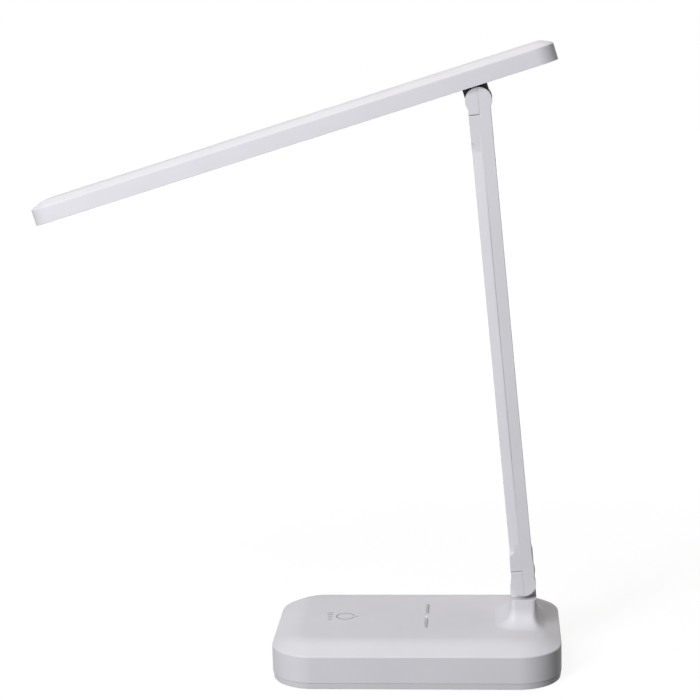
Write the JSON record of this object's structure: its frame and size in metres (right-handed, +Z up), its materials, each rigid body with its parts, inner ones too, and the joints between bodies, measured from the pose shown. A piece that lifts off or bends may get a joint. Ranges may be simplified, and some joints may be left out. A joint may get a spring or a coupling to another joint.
{
  "type": "folding led desk lamp",
  "caption": "Folding desk lamp: a weighted rounded base with a touch key, a short neck, a flat two-shell arm and a slim bar-shaped LED head, both hinged to fold flat.",
  "frame": {"origin": "centre of the base's resting face on the table", "axes": "+X towards the neck, +Y to the back of the lamp, +Z up; both hinge axes run along Y"},
  "size_m": [0.323, 0.115, 0.3883],
  "materials": {
    "white_abs": "fine matt moulded ABS",
    "black_pom": "black moulded hinge plastic",
    "diffuser_pc": "milky diffusing polycarbonate",
    "lens_clear": "clear moulded light guide",
    "rib_soft": "soft grey elastomer",
    "mat_silicone": "grey silicone sheet",
    "foam": "black foam rubber",
    "weight_steel": "sheet steel, zinc primed",
    "screw_steel": "nickel plated steel",
    "pin_steel": "ground steel pin",
    "washer_brass": "brass spring washer",
    "copper": "tinned copper foil",
    "cell_wrap": "shrink sleeve over a steel can",
    "board_green": "solder mask over glass epoxy",
    "board_white": "white solder mask",
    "chip_black": "moulded epoxy packages",
    "led_phosphor": "LED packages with yellow phosphor",
    "reflector_white": "white reflecting sheet",
    "wire_black": "PVC insulation",
    "wire_red": "PVC insulation"
  },
  "bodies": {
    "base": {"base_housing": "white_abs", "hinge_neck": "white_abs", "bottom_plate": "white_abs", "anti_slip_mat": "mat_silicone", "bottom_screws": "screw_steel", "counterweight": "weight_steel", "counterweight_screws": "screw_steel", "battery_cell": "cell_wrap", "battery_pad": "foam", "control_board": "board_green", "board_parts": "chip_black", "board_screws": "screw_steel", "touch_electrode": "copper", "touch_spring": "pin_steel", "indicator_lens": "lens_clear", "rest_ribs": "rib_soft", "charge_board": "board_green", "charge_board_screws": "screw_steel", "usb_socket": "screw_steel", "battery_lead": "wire_red", "charge_lead": "wire_black", "base_lead": "wire_black"},
    "arm": {"lower_hinge_pins": "pin_steel", "lower_washers": "washer_brass", "arm_back_shell": "white_abs", "arm_front_cover": "white_abs", "lower_ear_caps": "white_abs", "upper_ear_caps": "white_abs", "arm_stiffener": "weight_steel", "stiffener_screws": "screw_steel", "arm_lead": "wire_black", "upper_hinge_pins": "pin_steel", "upper_washers": "washer_brass"},
    "head": {"head_bracket": "black_pom", "bracket_screws": "screw_steel", "head_cover": "white_abs", "head_frame": "white_abs", "diffuser": "diffuser_pc", "led_board": "board_white", "led_chips": "led_phosphor", "reflector": "reflector_white", "head_lead": "wire_black"}
  },
  "joints": [
    {"name": "arm_fold", "type": "hinge", "parent": "base", "child": "arm", "pos_m": [0.0671, 0, 0.0542], "axis": [0, -1, 0], "range_deg": [-25, 85.3]},
    {"name": "head_fold", "type": "hinge", "parent": "arm", "child": "head", "pos_m": [0.04244, 0, 0.35419], "axis": [0, -1, 0], "range_deg": [-101, 78.2]}
  ]
}
